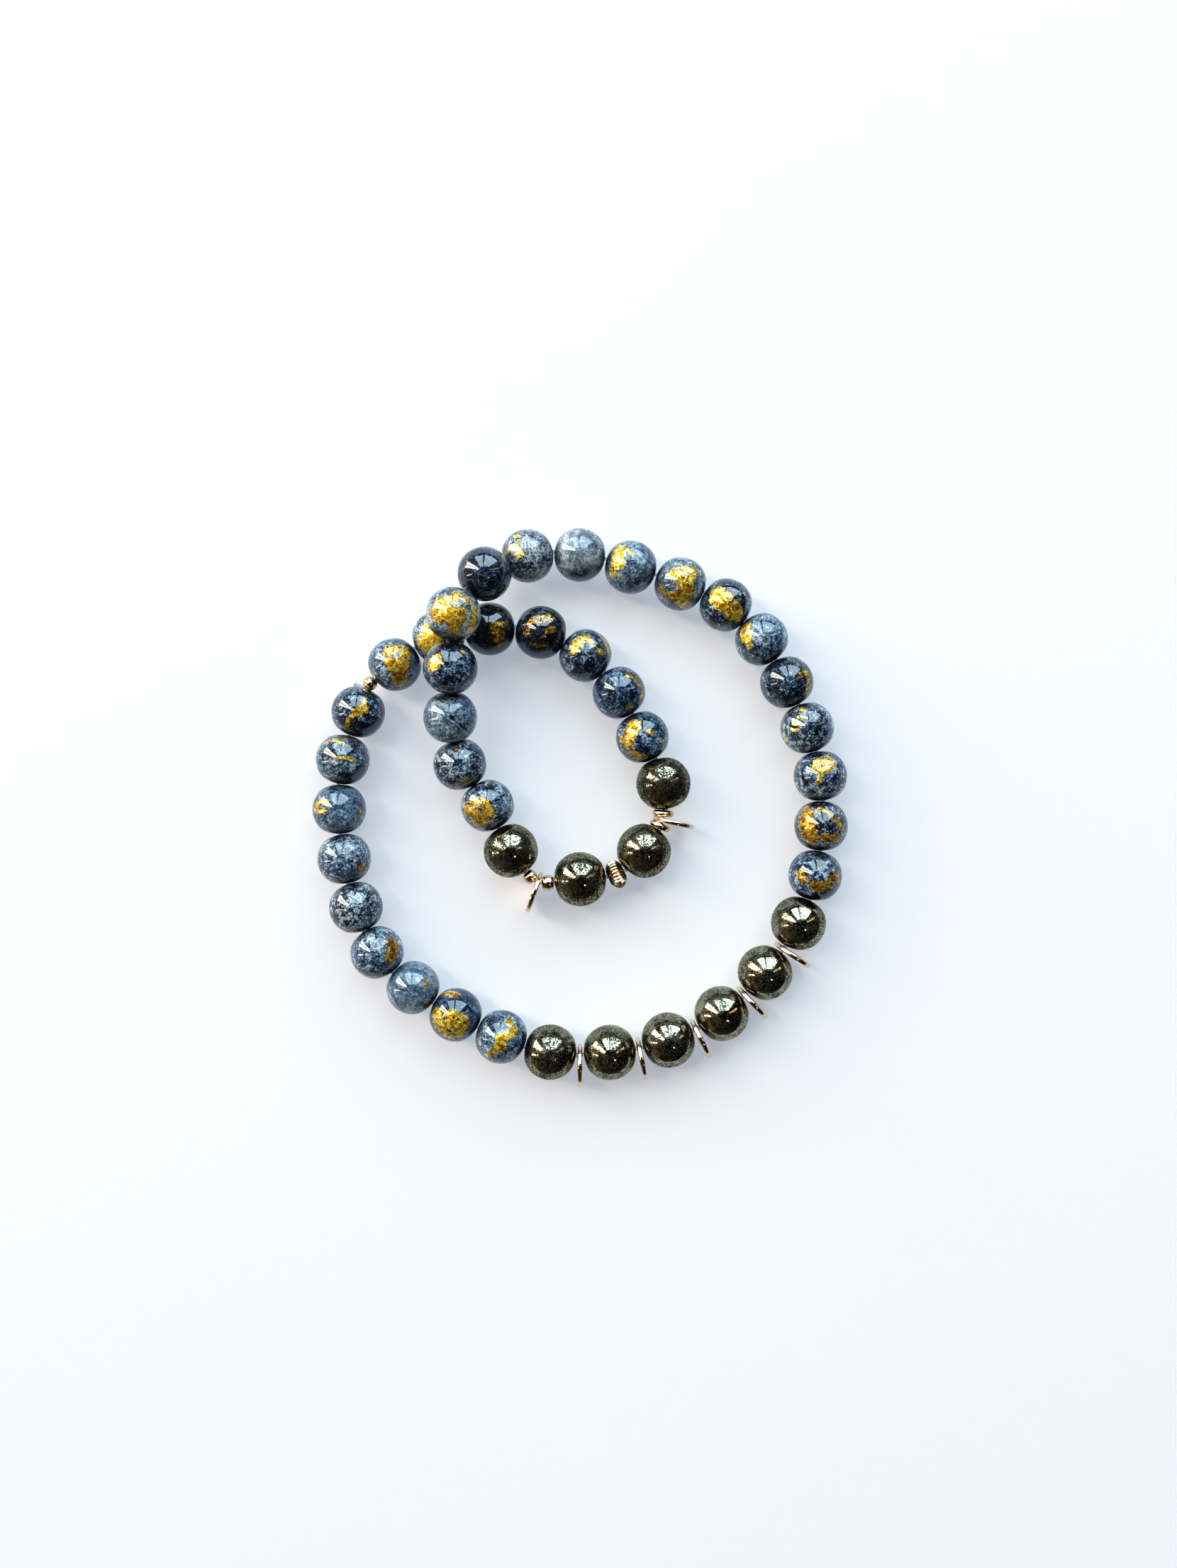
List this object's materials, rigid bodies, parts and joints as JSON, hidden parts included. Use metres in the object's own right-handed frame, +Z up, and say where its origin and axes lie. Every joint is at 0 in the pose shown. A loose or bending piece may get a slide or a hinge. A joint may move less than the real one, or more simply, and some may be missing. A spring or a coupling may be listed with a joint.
{
  "type": "bracelet",
  "caption": "Double-wrap stretch bracelet of round mottled stone beads and polished pyrite beads, with small gold-coloured coin charms and spacer beads, lying flat.",
  "frame": {"origin": "on the resting plane, under the middle of the whole bracelet's bounding box", "axes": "+Z up from the resting plane; +Y along the longer extent of the outer loop, towards the place where the strand crosses itself; +X to the right of it"},
  "size_m": [0.0828, 0.0866, 0.0154],
  "materials": {
    "leaf_stone": "polished blue-grey stone, mottled dark and light, with patches of gold leaf",
    "pyrite": "polished dark olive-brown pyrite with fine pits",
    "gold_metal": "polished warm gold plate",
    "clear_elastic": "clear, slightly cloudy elastic"
  },
  "bodies": {
    "root": {"barrel_bead_01": "gold_metal", "coin_charm_01": "gold_metal", "coin_charm_02": "gold_metal", "coin_charm_03": "gold_metal", "coin_charm_04": "gold_metal", "coin_charm_05": "gold_metal", "coin_charm_06": "gold_metal", "coin_charm_07": "gold_metal", "elastic_cord": "clear_elastic", "pyrite_bead_01": "pyrite", "pyrite_bead_02": "pyrite", "pyrite_bead_03": "pyrite", "pyrite_bead_04": "pyrite", "pyrite_bead_05": "pyrite", "pyrite_bead_06": "pyrite", "pyrite_bead_07": "pyrite", "pyrite_bead_08": "pyrite", "pyrite_bead_09": "pyrite", "pyrite_bead_10": "pyrite", "ring_spacer_01": "gold_metal", "ring_spacer_02": "gold_metal", "round_bead_01": "gold_metal", "round_bead_02": "gold_metal", "saucer_bead_01": "gold_metal", "stone_bead_01": "leaf_stone", "stone_bead_02": "leaf_stone", "stone_bead_03": "leaf_stone", "stone_bead_04": "leaf_stone", "stone_bead_05": "leaf_stone", "stone_bead_06": "leaf_stone", "stone_bead_07": "leaf_stone", "stone_bead_08": "leaf_stone", "stone_bead_09": "leaf_stone", "stone_bead_10": "leaf_stone", "stone_bead_11": "leaf_stone", "stone_bead_12": "leaf_stone", "stone_bead_13": "leaf_stone", "stone_bead_14": "leaf_stone", "stone_bead_15": "leaf_stone", "stone_bead_16": "leaf_stone", "stone_bead_17": "leaf_stone", "stone_bead_18": "leaf_stone", "stone_bead_19": "leaf_stone", "stone_bead_20": "leaf_stone", "stone_bead_21": "leaf_stone", "stone_bead_22": "leaf_stone", "stone_bead_23": "leaf_stone", "stone_bead_24": "leaf_stone", "stone_bead_25": "leaf_stone", "stone_bead_26": "leaf_stone", "stone_bead_27": "leaf_stone", "stone_bead_28": "leaf_stone", "stone_bead_29": "leaf_stone", "stone_bead_30": "leaf_stone", "stone_bead_31": "leaf_stone", "stone_bead_32": "leaf_stone", "stone_bead_33": "leaf_stone"}
  },
  "joints": []
}
